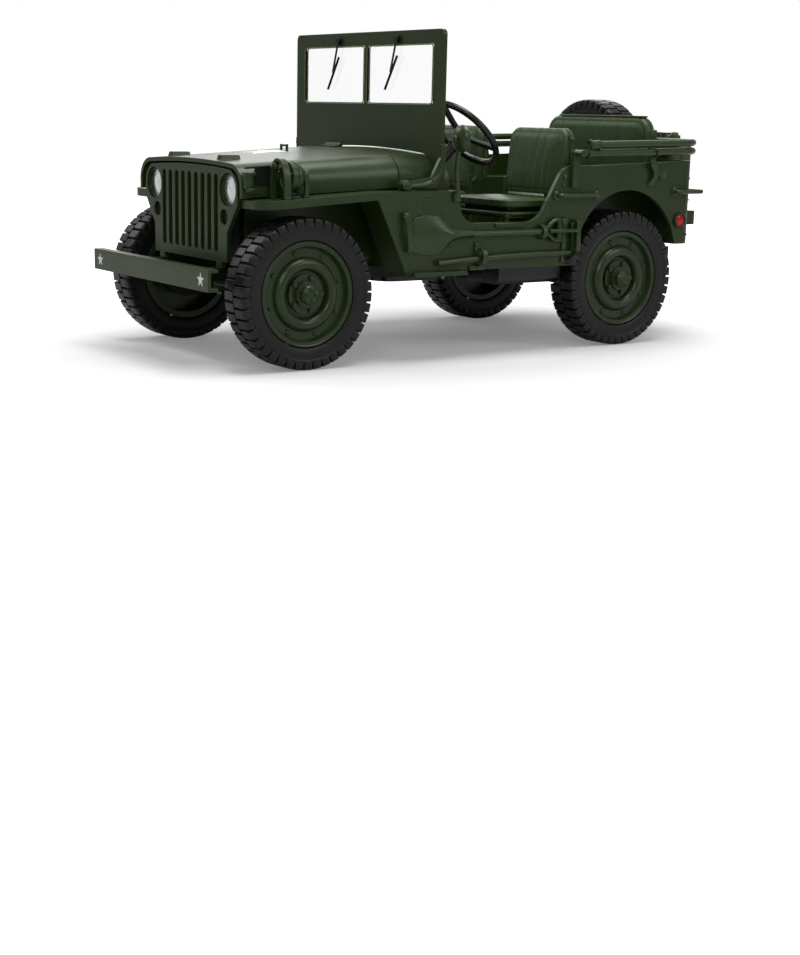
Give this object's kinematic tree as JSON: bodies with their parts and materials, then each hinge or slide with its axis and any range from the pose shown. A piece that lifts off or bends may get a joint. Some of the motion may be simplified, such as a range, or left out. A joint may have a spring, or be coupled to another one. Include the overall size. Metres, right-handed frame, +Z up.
{
  "type": "scale model army 4x4 car",
  "caption": "Toy-size model of an open army 4x4 car with folding windshield, opening hood, steerable front wheels, bucket seats, spare wheel and folded top bows.",
  "frame": {"origin": "on the ground under the model's middle plane, midway between the two axles", "axes": "-Y towards the front, +X towards the driver's (left) side, +Z up"},
  "size_m": [0.0942, 0.1822, 0.0915],
  "materials": {
    "olive_body": "satin",
    "olive_fabric": "matt",
    "black_plastic": "satin",
    "tyre": "matt",
    "clear_lens": "clear",
    "window": "clear",
    "white_dial": "matt",
    "dark_metal": "satin",
    "red_lens": "gloss"
  },
  "bodies": {
    "body": {"axe": "olive_body", "bow_brackets": "olive_body", "can_tray": "olive_body", "cross_members": "olive_body", "dashboard": "olive_body", "data_plates": "white_dial", "engine": "dark_metal", "exhaust": "dark_metal", "fender_lamp": "olive_body", "frame_rails": "olive_body", "front_axle": "olive_body", "front_bumper": "olive_body", "front_fender_left": "olive_body", "front_fender_right": "olive_body", "front_leaf_springs": "dark_metal", "front_seat_cushions": "olive_fabric", "front_seat_frames": "olive_body", "fuel_tank": "olive_body", "gear_levers": "black_plastic", "gearbox": "dark_metal", "grab_handles": "olive_body", "grille": "olive_body", "headlamp_lenses": "clear_lens", "headlamps": "olive_body", "instruments": "black_plastic", "jerry_can": "olive_body", "marker_lamps": "olive_body", "mirror": "olive_body", "pintle_hook": "olive_body", "propeller_shafts": "dark_metal", "rear_axle": "olive_body", "rear_bumperettes": "olive_body", "rear_leaf_springs": "dark_metal", "rear_seat_cushions": "olive_fabric", "rear_seat_frame": "olive_body", "shovel": "olive_body", "spare_carrier": "olive_body", "spare_rim": "olive_body", "spare_tyre": "tyre", "steering_column": "olive_body", "tail_lamps": "red_lens", "top_bows": "olive_body", "tub": "olive_body", "windshield_pivots": "olive_body"},
    "knuckle_left": {"knuckle_left": "olive_body"},
    "knuckle_right": {"knuckle_right": "olive_body"},
    "tie_rod": {"tie_rod": "olive_body"},
    "steering_wheel": {"steering_wheel": "black_plastic"},
    "wheel_front_left": {"rim_front_left": "olive_body", "tyre_front_left": "tyre"},
    "wheel_front_right": {"rim_front_right": "olive_body", "tyre_front_right": "tyre"},
    "wheel_rear_left": {"rim_rear_left": "olive_body", "tyre_rear_left": "tyre"},
    "wheel_rear_right": {"rim_rear_right": "olive_body", "tyre_rear_right": "tyre"},
    "hood": {"hood": "olive_body"},
    "windshield": {"windshield_frame": "olive_body", "windshield_glass": "window", "wipers": "olive_body"}
  },
  "joints": [
    {"name": "steering", "type": "hinge", "parent": "body", "child": "knuckle_left", "pos_m": [0.0275, -0.05645, 0.0205], "axis": [0, 0, 1], "range_deg": [-25, 25]},
    {"name": "steering_right", "type": "hinge", "parent": "body", "child": "knuckle_right", "pos_m": [-0.0275, -0.05645, 0.0205], "axis": [0, 0, 1], "range_deg": [-25, 25]},
    {"name": "tie_rod_pin", "type": "hinge", "parent": "knuckle_left", "child": "tie_rod", "pos_m": [0.0275, -0.06485, 0.0205], "axis": [0, 0, 1], "range_deg": [-25, 25]},
    {"name": "steering_wheel_turn", "type": "hinge", "parent": "body", "child": "steering_wheel", "pos_m": [0.0185, 0.0098, 0.0632], "axis": [0, -0.7142, -0.6999], "range_deg": [-75, 75]},
    {"name": "wheel_front_left_spin", "type": "hinge", "parent": "knuckle_left", "child": "wheel_front_left", "pos_m": [0.0346, -0.05645, 0.0205], "axis": [1, 0, 0], "continuous": true},
    {"name": "wheel_front_right_spin", "type": "hinge", "parent": "knuckle_right", "child": "wheel_front_right", "pos_m": [-0.0346, -0.05645, 0.0205], "axis": [1, 0, 0], "continuous": true},
    {"name": "wheel_rear_left_spin", "type": "hinge", "parent": "body", "child": "wheel_rear_left", "pos_m": [0.0346, 0.05645, 0.0205], "axis": [1, 0, 0], "continuous": true},
    {"name": "wheel_rear_right_spin", "type": "hinge", "parent": "body", "child": "wheel_rear_right", "pos_m": [-0.0346, 0.05645, 0.0205], "axis": [1, 0, 0], "continuous": true},
    {"name": "hood_hinge", "type": "hinge", "parent": "body", "child": "hood", "pos_m": [0, -0.02395, 0.0592], "axis": [-1, 0, 0], "range_deg": [0, 55]},
    {"name": "windshield_fold", "type": "hinge", "parent": "body", "child": "windshield", "pos_m": [0, -0.0246, 0.0491], "axis": [-1, 0, 0], "range_deg": [-90, 0]}
  ],
  "couplings": [
    {"joint": "steering_right", "follows": "steering", "ratio": 1},
    {"joint": "tie_rod_pin", "follows": "steering", "ratio": -1},
    {"joint": "steering_wheel_turn", "follows": "steering", "ratio": -3}
  ]
}
